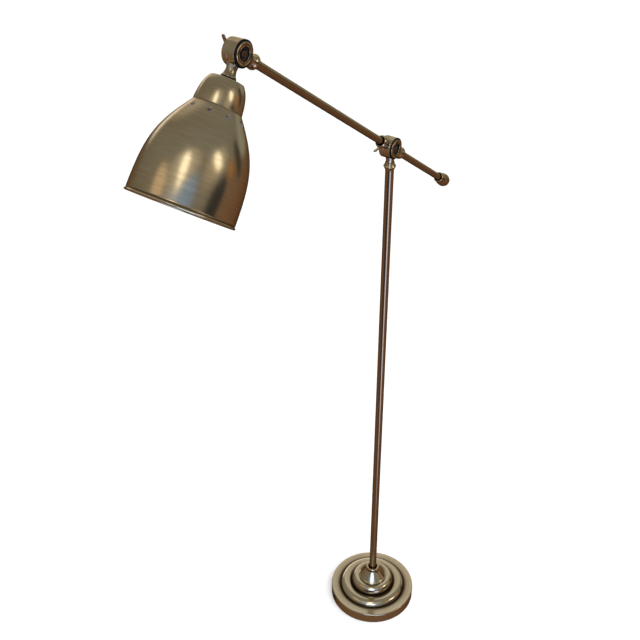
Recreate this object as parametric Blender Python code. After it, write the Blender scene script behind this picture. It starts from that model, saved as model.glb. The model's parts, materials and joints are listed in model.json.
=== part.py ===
"""Adjustable arm floor lamp, metres, +Z up.

The origin is the middle of the base underside. The arm lies in the XZ plane with the shade
towards -X. Both joint drums turn about Y: cap rings face -Y, wing nuts face +Y.
"""
from math import acos, cos, pi, radians, sin

import bmesh
import bpy
from mathutils import Matrix, Vector

MM = 0.001
GAP = 0.3                       # clearance between neighbouring pieces, mm

# Driving dimensions, millimetres and degrees.
BASE_RADIUS = 115.0
BASE_EDGE_HEIGHT = 30.5         # top of the base's flat outer ring
SOCKET_FOOT_HEIGHT = 66.0       # shelf that the cone stands on
SOCKET_TOP_HEIGHT = 94.2
COLLAR_FOOT_HEIGHT = 96.8       # above the black washer between socket and collar
POLE_RADIUS = 9.5
POLE_WALL = 1.0
JOINT_HEIGHT = 1371.0           # axis of the pole joint
ARM_LENGTH = 568.0              # between the two joint axes
ARM_RADIUS = 7.5
ARM_WALL = 1.0
TAIL_LENGTH = 308.0             # pole joint axis to the finial's end
FINIAL_LENGTH = 45.0
ARM_ELEVATION = 34.8            # above the horizontal, at rest
SHADE_TILT = 36.9               # shade axis from straight down, at rest

DRUM_RADIUS = 22.7
DRUM_FRONT = -13.4
DRUM_SEAM = 3.5                 # plane between the two halves of a joint
DRUM_BACK = 14.8
RING_SEAT = -11.2               # front face of the casting, under the black ring
CAP_RING_FRONT = -15.6
DRUM_CAVITY = 19.9
DRUM_FLOOR = 3.0                # thickness of each half's end wall
HUB_RADIUS = 9.0
BOLT_HOLE = 3.3
BOLT_RADIUS = 3.0
NECK_LENGTH = 34.2              # joint axis to the end of a casting's neck
NECK_WAIST = 9.0
NECK_ROOT = 11.0                # a flared root, used where the two necks stay far apart
NIPPLE_RADIUS = 4.9
NIPPLE_BORE = 3.0
NIPPLE_HOLE = 5.2
BEAD_START = 34.5
BEAD_LENGTH = 15.0
BEAD_RADIUS = 13.7
WING_SPAN = 52.0
WING_THICKNESS = 2.8

STEM_LENGTH = 41.6              # head joint axis to the stem's flange face
FLANGE_RADIUS = 12.9
GASKET_THICKNESS = 3.3
SHADE_TOP = 45.5                # along the shade axis from the head joint
SHADE_CREASE = 92.0
SHADE_RIM = 262.0
SHADE_CREASE_RADIUS = 40.84
SHADE_MOUTH_RADIUS = 90.85
SHADE_WALL = 0.8
VENT_COUNT = 10
VENT_RADIUS = 3.7
VENT_HEIGHT = 104.6
VENT_SKIN_RADIUS = 49.5         # the bell's radius at that height
VENT_PHASE = 8.4
HOLDER_TOP = 51.5
BULB_CAP_START = 79.0
BULB_CAP_RADIUS = 13.1
BULB_NECK = 103.3
BULB_RADIUS = 30.0
BULB_END = 192.0

METALS = {
    "brass": ((0.22, 0.18, 0.11), 0.32, 1.0),
    "bronze": ((0.16, 0.10, 0.055), 0.34, 1.0),
    "steel": ((0.45, 0.45, 0.44), 0.4, 1.0),
    "iron": ((0.08, 0.08, 0.08), 0.7, 0.6),
    "white": ((0.8, 0.8, 0.78), 0.5, 0.0),
    "black": ((0.02, 0.02, 0.02), 0.6, 0.0),
    "glass": ((0.9, 0.9, 0.87), 0.25, 0.0),
}


def finish(obj, kind):
    """Give one object its own material."""
    colour, roughness, metallic = METALS[kind]
    material = bpy.data.materials.new(obj.name + "_finish")
    material.use_nodes = True
    shader = material.node_tree.nodes["Principled BSDF"]
    shader.inputs["Base Color"].default_value = (*colour, 1.0)
    shader.inputs["Roughness"].default_value = roughness
    shader.inputs["Metallic"].default_value = metallic
    obj.data.materials.append(material)


def frame(name, parent=None, location=(0, 0, 0), turn=0.0):
    """An empty that carries pieces: location in mm, turned about Y by turn degrees."""
    empty = bpy.data.objects.new(name, None)
    bpy.context.collection.objects.link(empty)
    empty.parent = parent
    empty.location = Vector(location) * MM
    empty.rotation_euler = (0.0, radians(turn), 0.0)
    return empty


def place(name, mesh, parent, kind, location=(0, 0, 0), rotation=(0, 0, 0)):
    """Link a mesh as a named object under a frame."""
    for polygon in mesh.polygons:
        polygon.use_smooth = True
    mesh.set_sharp_from_angle(angle=radians(30))
    obj = bpy.data.objects.new(name, mesh)
    bpy.context.collection.objects.link(obj)
    obj.parent = parent
    obj.location = Vector(location) * MM
    obj.rotation_euler = rotation
    if kind:
        finish(obj, kind)
    else:
        obj.hide_render = True
        obj.display_type = "WIRE"
    return obj


def to_mesh(name, bm):
    bmesh.ops.remove_doubles(bm, verts=bm.verts[:], dist=0.00001)
    bmesh.ops.recalc_face_normals(bm, faces=bm.faces[:])
    mesh = bpy.data.meshes.new(name)
    bm.to_mesh(mesh)
    bm.free()
    return mesh


def turned(name, profile, steps, closed=False):
    """Spin (radius, height) points in mm about Z. An open profile ends on the axis twice."""
    bm = bmesh.new()
    verts = [bm.verts.new((r * MM, 0.0, z * MM)) for r, z in profile]
    edges = [bm.edges.new(pair) for pair in zip(verts, verts[1:])]
    if closed:
        edges.append(bm.edges.new((verts[-1], verts[0])))
    bmesh.ops.spin(bm, geom=verts + edges, cent=(0, 0, 0), axis=(0, 0, 1), angle=2 * pi,
                   steps=steps, use_merge=True, use_duplicate=False)
    return to_mesh(name, bm)


def tube(name, outer, inner, start, end, steps=24):
    """A plain sleeve along Z."""
    return turned(name, [(inner, start), (outer, start), (outer, end), (inner, end)], steps, True)


def rod(name, radius, start, end, steps=24):
    return turned(name, [(0, start), (radius, start), (radius, end), (0, end)], steps)


def hex_nut(name, across_flats, hole, start, end):
    """A hexagonal nut along Z: three points to each flat, and as many round the hole."""
    corner = across_flats / 2 / cos(pi / 6)
    bm = bmesh.new()
    rings = []
    for z in (start, end):
        outer = []
        for i in range(18):
            a = i * pi / 9
            r = corner * cos(pi / 6) / cos((a % (pi / 3)) - pi / 6)
            outer.append(bm.verts.new((r * cos(a) * MM, r * sin(a) * MM, z * MM)))
        inner = [bm.verts.new((hole * cos(i * pi / 9) * MM, hole * sin(i * pi / 9) * MM, z * MM))
                 for i in range(18)]
        rings.append((outer, inner))
    (low_out, low_in), (high_out, high_in) = rings
    loops = [low_in, low_out, high_out, high_in, low_in]
    for a, b in zip(loops, loops[1:]):
        for i in range(18):
            j = (i + 1) % 18
            bm.faces.new((a[i], a[j], b[j], b[i]))
    return to_mesh(name, bm)


def arc(centre, radii, start, end, count):
    """Points on an ellipse in the (radius, height) plane, angles in degrees."""
    step = (end - start) / count
    return [(centre[0] + radii[0] * cos(radians(start + i * step)),
             centre[1] + radii[1] * sin(radians(start + i * step))) for i in range(count + 1)]


def bezier(p0, p1, p2, p3, count):
    points = []
    for i in range(count + 1):
        u = i / count
        weights = ((1 - u) ** 3, 3 * u * (1 - u) ** 2, 3 * u * u * (1 - u), u ** 3)
        points.append(tuple(sum(w * p[k] for w, p in zip(weights, (p0, p1, p2, p3)))
                            for k in (0, 1)))
    return points


def boolean(obj, other, operation):
    modifier = obj.modifiers.new(operation.title(), "BOOLEAN")
    modifier.operation = operation
    modifier.solver = "EXACT"
    modifier.object = other


def cut(obj, name, mesh, parent, location=(0, 0, 0), rotation=(0, 0, 0)):
    boolean(obj, place(name, mesh, parent, None, location, rotation), "DIFFERENCE")


# ---------------------------------------------------------------- base and pole
def build_base(root):
    pad_top = 2.5
    weight_radius = 110.0
    weight_top = 25.0
    recess_radius = 20.0
    recess_top = 12.0
    stud_hole = 6.2
    cover_inside = 64.4         # underside of the cover's top
    skirt_start = 0.8
    skirt_inner = 113.4
    place("base_pad", rod("base_pad", weight_radius - 0.5, 0.0, pad_top, 40), root, "black")

    weight = place("base_weight", turned("base_weight", [
        (stud_hole, recess_top), (recess_radius, recess_top), (recess_radius, pad_top + GAP),
        (weight_radius, pad_top + GAP), (weight_radius, weight_top), (stud_hole, weight_top)], 40, True),
        root, "iron")
    channel_size = Vector((110.0, 11.0, 15.0))
    channel = bmesh.new()
    bmesh.ops.create_cube(channel, size=1.0, matrix=Matrix.Diagonal((*channel_size * MM, 1.0)))
    cut(weight, "lead_channel_cutter", to_mesh("lead_channel", channel), root,
        (recess_radius - 5 + channel_size.x / 2, 0, 8.0))

    outer = [(BASE_RADIUS, skirt_start), (BASE_RADIUS, 27.5)]
    outer += arc((BASE_RADIUS - 3, BASE_EDGE_HEIGHT - 3), (3, 3), 45, 90, 1)
    outer += [(90.5, 31.2)]
    outer += arc((73.0, 31.0), (16.2, 15.5), 0, 90, 4)
    outer += [(66.5, 45.9), (58.4, 43.2)]
    outer += arc((46.0, 46.0), (11.6, 21.0), 0, 90, 4)
    outer += [(38.0, SOCKET_FOOT_HEIGHT), (stud_hole, SOCKET_FOOT_HEIGHT)]
    inner = [(stud_hole, cover_inside), (46.0, 65.0), (53.0, 59.0), (55.8, 41.4),
             (66.0, 43.8), (72.0, 44.4), (81.5, 39.5), (86.5, 29.0), (skirt_inner, 28.0),
             (skirt_inner, skirt_start)]
    cover = place("base_cover", turned("base_cover", outer + inner, 40, True), root, "brass")
    gland_height = 9.0
    along_x = (0, radians(90), 0)
    cut(cover, "gland_hole_cutter", rod("gland_hole", 5.2, 105.0, 125.0, 12), root,
        (0, 0, gland_height), along_x)
    place("cord_gland", turned("cord_gland", [
        (3.0, 111.0), (6.2, 111.0), (6.2, 112.7), (4.9, 112.7), (4.9, 115.4), (6.4, 115.4),
        (5.4, 118.5), (3.0, 118.5)], 12, True), root, "black", (0, 0, gland_height), along_x)

    stud_start = pad_top + 1.5
    stud_end = COLLAR_FOOT_HEIGHT + 21.5
    place("base_stud", tube("base_stud", 5.0, NIPPLE_BORE, stud_start, stud_end, 12), root, "steel")
    place("base_nut", hex_nut("base_nut", 17.0, 5.3, pad_top + 1.8, 10.0), root, "steel")
    place("base_washer", tube("base_washer", 15.0, 5.4, 10.3, 11.7, 12), root, "steel")
    place("base_spacer", tube("base_spacer", 10.0, 5.6, weight_top + GAP, cover_inside - GAP, 12),
          root, "steel")

    foot = SOCKET_FOOT_HEIGHT + GAP
    top = SOCKET_TOP_HEIGHT
    place("pole_socket", turned("pole_socket", [
        (5.4, foot), (37.4, foot), (37.2, foot + 1.8), (34.4, foot + 4.0),
        (20.6, top - 4.0), (18.8, top), (5.4, top)], 32, True), root, "brass")
    collar = COLLAR_FOOT_HEIGHT
    place("collar_washer", tube("collar_washer", 16.6, 5.4, top + GAP, collar - GAP, 24), root, "black")
    place("base_collar", turned("base_collar", [
        (12.2, collar), (17.0, collar), (18.8, collar + 2.6), (17.6, collar + 5.2),
        (15.0, collar + 6.3), (12.2, collar + 5.2)], 24, True), root, "brass")
    return collar


def build_pole(root, foot):
    """The pole tube with its inserts and the lead that runs inside it."""
    head = JOINT_HEIGHT - BEAD_START - BEAD_LENGTH - GAP
    inner = POLE_RADIUS - POLE_WALL
    place("pole_tube", tube("pole_tube", POLE_RADIUS, inner, foot, head, 24), root, "bronze")
    bush_end = foot + 20.0
    place("pole_lower_bush", tube("pole_lower_bush", inner - GAP, 5.3, foot, bush_end, 12),
          root, "steel")
    lead_start = bush_end + 5.0
    lead_end = JOINT_HEIGHT - BEAD_START - BEAD_LENGTH - 27.0
    place("pole_lead", rod("pole_lead", 2.4, lead_start, lead_end, 8), root, "black")


# ---------------------------------------------------------------- joints
def neck_profile(root_radius):
    """Waisted neck of a casting, from inside the drum out to its flat end."""
    return [(0, 12.0), (root_radius, 12.0), (root_radius, 20.0), (NECK_WAIST, 24.5),
            (NECK_WAIST, 29.0), (10.4, NECK_LENGTH), (0, NECK_LENGTH)]


def stem_profile():
    """Waisted stem that flares to the flange above the shade."""
    flange = STEM_LENGTH
    return [(0, 12.0), (NECK_ROOT, 12.0), (NECK_ROOT, 20.0), (9.6, 24.5), (NECK_WAIST, 28.8),
            (9.8, 33.4), (11.4, 37.6), (FLANGE_RADIUS, 40.4), (FLANGE_RADIUS, flange), (0, flange)]


def drum_half(name, frame_empty, kind, front, necks, end):
    """One half of a joint drum, turned about Y. Each neck is (profile, 1 if it runs along -Z)."""
    reach = 30.0                # how far the other half's clearance runs past the seam
    if front:
        seam = DRUM_SEAM - GAP / 2
        inside = RING_SEAT + DRUM_FLOOR
        profile = [(BOLT_HOLE, RING_SEAT), (DRUM_RADIUS, RING_SEAT), (DRUM_RADIUS, seam),
                   (DRUM_CAVITY, seam), (DRUM_CAVITY, inside), (HUB_RADIUS, inside),
                   (HUB_RADIUS, seam - 1.5), (BOLT_HOLE, seam - 1.5)]
        clear_from, clear_to = seam - 0.1, seam + reach
    else:
        seam = DRUM_SEAM + GAP / 2
        inside = DRUM_BACK - DRUM_FLOOR
        profile = [(BOLT_HOLE, seam), (HUB_RADIUS, seam), (HUB_RADIUS, inside),
                   (DRUM_CAVITY, inside), (DRUM_CAVITY, seam), (DRUM_RADIUS, seam),
                   (DRUM_RADIUS, DRUM_BACK - 1.2), (DRUM_RADIUS - 1.2, DRUM_BACK),
                   (BOLT_HOLE, DRUM_BACK)]
        clear_from, clear_to = seam - reach, seam + 0.1
    along_y = (radians(-90), 0, 0)
    steps = 28
    drum = place(name, turned(name, profile, steps, True), frame_empty, kind, (0, 0, 0), along_y)
    for index, (neck, along_minus_z) in enumerate(necks):
        flip = (0, pi * along_minus_z, 0)
        blank = place(f"{name}_neck_{index}", turned(f"{name}_neck_{index}", neck, 16),
                      frame_empty, None, (0, 0, 0), flip)
        # room for the other half of the drum, then for everything inside this half
        cut(blank, f"{name}_clear_{index}",
            rod(f"{name}_clear_{index}", DRUM_RADIUS + GAP, clear_from, clear_to, steps),
            frame_empty, (0, 0, 0), along_y)
        cut(blank, f"{name}_core_{index}",
            rod(f"{name}_core_{index}", DRUM_RADIUS - 1.0, -40.0, 40.0, steps),
            frame_empty, (0, 0, 0), along_y)
        boolean(drum, blank, "UNION")
        cut(drum, f"{name}_bore_{index}",
            turned(f"{name}_bore_{index}", [
                (0, 15.0), (NIPPLE_BORE, 15.0), (NIPPLE_BORE, 24.0), (NIPPLE_HOLE, 24.0),
                (NIPPLE_HOLE, end + 5), (0, end + 5)], 14), frame_empty, (0, 0, 0), flip)
    return drum


def joint_hardware(prefix, frame_empty):
    """Bolt, black ring, cap ring and washers of one drum, all turned about Y."""
    along_y = (radians(-90), 0, 0)
    floor = RING_SEAT
    bolt_front = floor - 3.0
    ring_back = DRUM_FRONT - GAP
    parts = {
        "bolt": ([(0, bolt_front), (4.2, bolt_front), (5.6, bolt_front + 1.0), (5.6, floor - GAP),
                  (BOLT_RADIUS, floor - GAP), (BOLT_RADIUS, 28.0), (0, 28.0)], False, "bronze"),
        "black_ring": ([(12.4, floor - GAP), (12.4, DRUM_FRONT), (22.1, DRUM_FRONT),
                        (22.7, DRUM_FRONT + 0.5), (22.7, floor - GAP)], True, "black"),
        "cap_ring": ([(12.2, ring_back), (12.2, CAP_RING_FRONT + 0.6), (12.8, CAP_RING_FRONT + 0.2),
                      (17.2, CAP_RING_FRONT), (18.8, CAP_RING_FRONT + 0.8), (19.3, ring_back)],
                     True, "brass"),
        "friction_washer": ([(3.4, 2.15), (8.7, 2.15), (8.7, 3.35), (3.4, 3.35)], True, "black"),
        "back_washer": ([(3.4, 15.1), (8.5, 15.1), (8.5, 16.2), (3.4, 16.2)], True, "steel"),
    }
    for part, (profile, closed, kind) in parts.items():
        name = f"{prefix}_{part}"
        steps = 28 if part.endswith("_ring") else 16
        place(name, turned(name, profile, steps, closed), frame_empty, kind, (0, 0, 0), along_y)


def wing_nut(name, parent, angle):
    """Hub along Y with two rounded ears; angle sets the ears, 0 is along local Z."""
    hub_start = 16.5
    hub_end = 26.5
    pivot = frame(name + "_axis", parent, (0, 0, 0), angle)
    hub = place(name, turned(name, [(3.3, hub_start), (8.0, hub_start), (7.4, hub_start + 4),
                                    (6.0, hub_end), (3.3, hub_end)], 16, True),
                pivot, "bronze", (0, 0, 0), (radians(-90), 0, 0))
    for side in (1, -1):
        tip = WING_SPAN / 2
        outline = [(5.0, 17.5), (11.0, 17.9), (17.0, 19.8), (tip - 3.0, 20.4)]
        outline += [(tip - 3.3 + x, y) for x, y in arc((0, 24.0), (3.3, 3.6), -60, 90, 4)]
        outline += [(tip - 8.0, 26.8), (13.5, 24.6), (5.0, 24.0)]
        bm = bmesh.new()
        rings = [[bm.verts.new((x * MM, y * MM, side * z * MM)) for z, y in outline]
                 for x in (-WING_THICKNESS / 2, WING_THICKNESS / 2)]
        bm.faces.new(rings[0])
        bm.faces.new(list(reversed(rings[1])))
        count = len(outline)
        for i in range(count):
            j = (i + 1) % count
            bm.faces.new((rings[0][i], rings[1][i], rings[1][j], rings[0][j]))
        label = f"{name}_ear_{'upper' if side > 0 else 'lower'}"
        boolean(hub, place(label, to_mesh(label, bm), pivot, None), "UNION")
    return hub


def bead(name, parent, kind, flip, tube_radius, recessed):
    """Turned ring between a casting's neck and the tube that follows it."""
    start = BEAD_START
    end = start + BEAD_LENGTH
    profile = [(NIPPLE_HOLE, start), (10.2, start)]
    if recessed:
        mouth = tube_radius + 2.8
        profile += [(10.8, start + 2.4), (12.4, start + 5.4), (BEAD_RADIUS - 0.2, start + 8.2),
                    (BEAD_RADIUS - 0.4, start + 11.0), (mouth + 1.3, end - 1.0), (mouth + 0.7, end),
                    (mouth, end), (mouth, end - 3.2), (NIPPLE_HOLE, end - 3.2)]
    else:
        profile += [(10.8, start + 2.2), (BEAD_RADIUS - 0.7, start + 5.6), (BEAD_RADIUS, start + 7.0),
                    (BEAD_RADIUS - 0.7, start + 8.4), (tube_radius + 0.9, end - 1.6),
                    (tube_radius + 0.3, end), (NIPPLE_HOLE, end)]
    place(name, turned(name, profile, 20, True), parent, kind, (0, 0, 0), (0, pi * flip, 0))


def spigot(name, parent, flip, inner_radius, tube_start):
    """Stepped insert: screwed into the neck, then filling the end of the tube."""
    profile = [(NIPPLE_BORE, 25.0), (NIPPLE_RADIUS, 25.0), (NIPPLE_RADIUS, tube_start + GAP),
               (inner_radius - GAP, tube_start + GAP), (inner_radius - GAP, tube_start + 18),
               (NIPPLE_BORE, tube_start + 18)]
    place(name, turned(name, profile, 12, True), parent, "steel", (0, 0, 0), (0, pi * flip, 0))


# ---------------------------------------------------------------- arm
def build_arm(arm):
    """Everything between the joints, in the arm frame: +Z runs towards the shade."""
    necks = [(neck_profile(NECK_WAIST), flip) for flip in (0, 1)]
    drum_half("pole_joint_front", arm, "bronze", True, necks, NECK_LENGTH)
    joint_hardware("pole_joint", arm)
    inner = ARM_RADIUS - ARM_WALL
    tube_start = BEAD_START + BEAD_LENGTH - 2.5
    tail_end = TAIL_LENGTH - FINIAL_LENGTH + 3.0
    place("arm_tube", tube("arm_tube", ARM_RADIUS, inner, tube_start, ARM_LENGTH - tube_start, 20),
          arm, "bronze")
    place("tail_tube", tube("tail_tube", ARM_RADIUS, inner, tube_start, tail_end, 20), arm, "bronze",
          (0, 0, 0), (0, pi, 0))
    far_end = frame("arm_far_end", arm, (0, 0, ARM_LENGTH))
    for name, parent, flip in (("arm_bead_pole_end", arm, 0), ("tail_bead", arm, 1),
                               ("arm_bead_shade_end", far_end, 1)):
        bead(name, parent, "brass", flip, ARM_RADIUS, True)
        spigot(name.replace("bead", "spigot"), parent, flip, inner, tube_start)
    place("arm_lead", rod("arm_lead", 2.2, tube_start + 22, ARM_LENGTH - tube_start - 22, 8),
          arm, "black")

    mouth = TAIL_LENGTH - FINIAL_LENGTH
    ball = TAIL_LENGTH - 17.0
    outline = [(0, tail_end + GAP), (9.6, tail_end + GAP), (9.6, mouth), (10.8, mouth + 0.4),
               (12.2, mouth + 2.8), (12.2, mouth + 6.4), (10.4, mouth + 8.2), (10.2, mouth + 9.6),
               (12.4, mouth + 14.0), (14.2, mouth + 20.0), (14.9, ball), (14.5, ball + 6.0),
               (12.6, ball + 11.6), (9.0, ball + 15.4), (4.6, ball + 16.8), (0, TAIL_LENGTH)]
    place("tail_finial", turned("tail_finial", outline, 20), arm, "brass", (0, 0, 0), (0, pi, 0))

    drum_half("head_joint_front", far_end, "bronze", True, [(neck_profile(NECK_ROOT), 1)],
              NECK_LENGTH)
    return far_end


# ---------------------------------------------------------------- shade
def shade_profile():
    """Outer skin from the top hole down, rolled rim, then back up inside."""
    cap_side = bezier((29.0, 47.4), (33.6, 54.0), (39.2, 64.0),
                      (SHADE_CREASE_RADIUS, SHADE_CREASE - 1.2), 3)
    bell = bezier((SHADE_CREASE_RADIUS + 0.3, SHADE_CREASE + 0.3), (81.8, 147.7), (90.4, 174.3),
                  (SHADE_MOUTH_RADIUS, SHADE_RIM - 4), 9)
    outer = [(NIPPLE_HOLE, SHADE_TOP), (27.0, SHADE_TOP + 0.2), (28.2, SHADE_TOP + 0.8)]
    outer += cap_side + bell
    rim_centre = (SHADE_MOUTH_RADIUS - 0.2, SHADE_RIM - 1.9)
    outer += arc(rim_centre, (1.9, 1.9), -60, 180, 4)
    inner = [(r - SHADE_WALL, t) for r, t in reversed(bell)]
    inner += [(r - SHADE_WALL - 0.1, t + 0.4) for r, t in reversed(cap_side[:-1])]
    inner += [(26.6, SHADE_TOP + 1.2), (NIPPLE_HOLE, SHADE_TOP + 1.0)]
    return outer + inner


def build_head(head):
    """Stem, shade and lamp holder, in the head frame: +Z runs out of the shade's mouth."""
    drum_half("head_joint_rear", head, "bronze", False, [(stem_profile(), 0)], STEM_LENGTH)
    gasket_start = STEM_LENGTH + GAP
    place("shade_gasket", tube("shade_gasket", FLANGE_RADIUS, NIPPLE_HOLE, gasket_start,
                               gasket_start + GASKET_THICKNESS, 20), head, "black")
    shade = place("shade", turned("shade", shade_profile(), 36, True), head, "brass")
    for i in range(VENT_COUNT):
        a = radians(VENT_PHASE - i * 360 / VENT_COUNT)
        outward = Vector((cos(a), sin(a), -0.7)).normalized()
        tilt = outward.to_track_quat("Z", "Y").to_euler()
        cut(shade, f"vent_cutter_{i}", rod(f"vent_cutter_{i}", VENT_RADIUS, -6.0, 6.0, 8), head,
            (VENT_SKIN_RADIUS * cos(a), VENT_SKIN_RADIUS * sin(a), VENT_HEIGHT), tilt)

    place("shade_nipple", tube("shade_nipple", NIPPLE_RADIUS, NIPPLE_BORE, 26.0, HOLDER_TOP + 8, 12),
          head, "steel")
    place("shade_locknut", hex_nut("shade_locknut", 15.0, NIPPLE_HOLE, SHADE_TOP + 1.3, HOLDER_TOP - GAP),
          head, "steel")
    top = HOLDER_TOP
    place("holder_cap", turned("holder_cap", [
        (NIPPLE_HOLE, top), (10.0, top), (16.0, top + 3), (19.5, top + 9), (19.5, top + 20),
        (17.8, top + 20), (17.8, top + 10), (14.5, top + 4.6), (NIPPLE_HOLE, top + 4)], 20, True),
        head, "white")
    body = top + 20 + GAP
    place("holder_body", tube("holder_body", 19.5, 15.6, body, body + 30, 20), head, "white")
    place("holder_insulator", rod("holder_insulator", 15.3, body + 0.5, body + 5, 16), head, "white")
    place("centre_contact", rod("centre_contact", 4.0, body + 5.3, BULB_CAP_START - GAP, 12),
          head, "steel")
    place("holder_screw_shell", tube("holder_screw_shell", 15.3, 14.2, body + 5.3, body + 28, 20),
          head, "steel")


def build_bulb(axis):
    start = BULB_CAP_START
    r = BULB_CAP_RADIUS
    place("bulb_cap", turned("bulb_cap", [
        (0, start), (4.0, start), (6.0, start + 2.0), (r - 1.5, start + 5), (r, start + 7),
        (r, BULB_NECK - GAP), (r - 0.7, BULB_NECK - GAP), (r - 0.7, start + 7.5), (0, start + 3)], 16),
        axis, "steel")
    centre = BULB_END - BULB_RADIUS
    meet = acos(0.9)
    glass = bezier((12.8, BULB_NECK), (13.4, BULB_NECK + 14), (25.0, centre - 28),
                   (BULB_RADIUS * 0.9, centre - BULB_RADIUS * sin(meet)), 3)
    glass += arc((0, centre), (BULB_RADIUS, BULB_RADIUS), -5, 90, 5)
    glass[-1] = (0, BULB_END)
    inner = [(0, BULB_END - 1.0)] + [(r - 0.9, z) for r, z in reversed(glass[1:-1])]
    inner.append((glass[0][0] - 1.0, BULB_NECK))
    place("bulb_glass", turned("bulb_glass", glass[::-1] + inner[::-1], 20), axis, "glass")


def build():
    for obj in list(bpy.data.objects):
        bpy.data.objects.remove(obj)
    root = frame("lamp_origin")
    build_pole(root, build_base(root))
    pole_joint = frame("pole_joint_axis", root, (0, 0, JOINT_HEIGHT))
    neck = frame("pole_neck", pole_joint, (0, 0, 0), 180.0)
    drum_half("pole_joint_rear", neck, "bronze", False,
              [(neck_profile(NECK_WAIST), 0)], NECK_LENGTH)
    bead("pole_bead", neck, "brass", 0, POLE_RADIUS, False)
    spigot("pole_spigot", neck, 0, POLE_RADIUS - POLE_WALL, BEAD_START + BEAD_LENGTH + GAP)

    arm = frame("arm_axis", pole_joint, (0, 0, 0), ARM_ELEVATION - 90.0)
    far_end = build_arm(arm)
    head_joint = frame("head_joint_axis", far_end, (0, 0, 0), 90.0 - ARM_ELEVATION)
    head = frame("head_axis", head_joint, (0, 0, 0), SHADE_TILT - 180.0)
    joint_hardware("head_joint", far_end)
    wing_nut("pole_wing_nut", pole_joint, -107.0)
    wing_nut("head_wing_nut", head_joint, -10.0)
    build_head(head)
    build_bulb(frame("bulb_axis", head))
    bpy.context.view_layer.update()


build()
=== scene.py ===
import json
import math
import bmesh
import bpy
from mathutils import Matrix, Vector


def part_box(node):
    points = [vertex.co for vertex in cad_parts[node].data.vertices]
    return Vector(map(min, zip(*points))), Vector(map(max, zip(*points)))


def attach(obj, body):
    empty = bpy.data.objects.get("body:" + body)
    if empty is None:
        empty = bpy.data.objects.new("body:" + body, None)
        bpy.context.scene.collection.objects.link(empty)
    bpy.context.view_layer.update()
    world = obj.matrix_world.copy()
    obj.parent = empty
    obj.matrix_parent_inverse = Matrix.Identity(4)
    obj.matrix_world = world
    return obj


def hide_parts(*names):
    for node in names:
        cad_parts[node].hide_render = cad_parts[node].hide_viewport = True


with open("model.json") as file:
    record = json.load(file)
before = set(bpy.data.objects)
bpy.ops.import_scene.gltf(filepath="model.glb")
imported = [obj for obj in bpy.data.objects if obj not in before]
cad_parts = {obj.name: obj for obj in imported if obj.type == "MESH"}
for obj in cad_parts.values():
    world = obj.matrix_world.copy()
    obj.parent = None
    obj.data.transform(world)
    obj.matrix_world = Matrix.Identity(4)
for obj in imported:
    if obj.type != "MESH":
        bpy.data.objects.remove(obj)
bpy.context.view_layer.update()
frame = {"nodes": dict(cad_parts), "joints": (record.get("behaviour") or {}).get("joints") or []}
joints = {joint["name"]: joint for joint in frame["joints"]}
print("frame loaded:", len(frame["nodes"]), "CAD nodes")

mm = 0.001
gap = 0.3                     # clearance kept between neighbouring pieces, in mm
hair = 0.05                   # slack in a test of where a face lies, in mm


# ---- places: every piece is turned about its own Z and aimed from a joint
def aimed(origin, direction):
    z = Vector(direction).normalized()
    y = Vector((0, 1, 0))
    x = y.cross(z)
    return Matrix.Translation(origin) @ Matrix((x, y, z)).transposed().to_4x4()


poleJointAt = Vector(joints["pole_tilt"]["pos_m"])
headJointAt = Vector(joints["head_tilt"]["pos_m"])
armWay = (headJointAt - poleJointAt).normalized()
armLength = (headJointAt - poleJointAt).length / mm
shadeWay = Vector(joints["bulb_turn"]["axis"])
upright = Matrix.Identity(4)
poleEnd = aimed(poleJointAt, (0, 0, -1))          # down the pole from its joint
armFromPole = aimed(poleJointAt, armWay)
tailFromPole = aimed(poleJointAt, -armWay)
armFromHead = aimed(headJointAt, -armWay)
shadeFromHead = aimed(headJointAt, shadeWay)
sideways = Matrix.Rotation(math.radians(-90), 4, "X")   # turned about the joint axis
poleDrum = Matrix.Translation(poleJointAt) @ sideways
headDrum = Matrix.Translation(headJointAt) @ sideways


# ---- outlines, in (radius, height) mm
def eased(outline, closed=False, steps=4):
    # a third number rounds that corner; a support point each side keeps the flats flat
    out = []
    count = len(outline)
    for i, point in enumerate(outline):
        if len(point) < 3 or (not closed and i in (0, count - 1)):
            out.append(Vector(point[:2]))
            continue
        here = Vector(point[:2])
        back = Vector(outline[i - 1][:2]) - here
        on = Vector(outline[(i + 1) % count][:2]) - here
        cut = min(point[2], back.length * 0.45, on.length * 0.45)
        start, end = here + back.normalized() * cut, here + on.normalized() * cut
        out.append(here + back.normalized() * cut * 1.1)
        for k in range(steps + 1):
            u = k / steps
            out.append(start * (1 - u) ** 2 + here * 2 * u * (1 - u) + end * u * u)
        out.append(here + on.normalized() * cut * 1.1)
    return [(p.x, p.y) for p in out]


def bow(centre, radii, start, end, count):
    step = (end - start) / count
    return [(centre[0] + radii[0] * math.cos(math.radians(start + i * step)),
             centre[1] + radii[1] * math.sin(math.radians(start + i * step)))
            for i in range(count + 1)]


def swoop(p0, p1, p2, p3, count):
    out = []
    for i in range(count + 1):
        u = i / count
        w = ((1 - u) ** 3, 3 * u * (1 - u) ** 2, 3 * u * u * (1 - u), u ** 3)
        out.append(tuple(sum(a * p[k] for a, p in zip(w, (p0, p1, p2, p3))) for k in (0, 1)))
    return out


def flowing(knots, count):
    # a smooth line through the knots
    out = []
    ends = [knots[0]] + list(knots) + [knots[-1]]
    for i in range(len(knots) - 1):
        a, b, c, d = (Vector(p[:2]) for p in ends[i:i + 4])
        for k in range(count):
            u = k / count
            p = 0.5 * ((2 * b) + (c - a) * u + (2 * a - 5 * b + 4 * c - d) * u * u
                       + (3 * b - a - 3 * c + d) * u ** 3)
            out.append((p.x, p.y))
    out.append(tuple(knots[-1][:2]))
    return out


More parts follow.
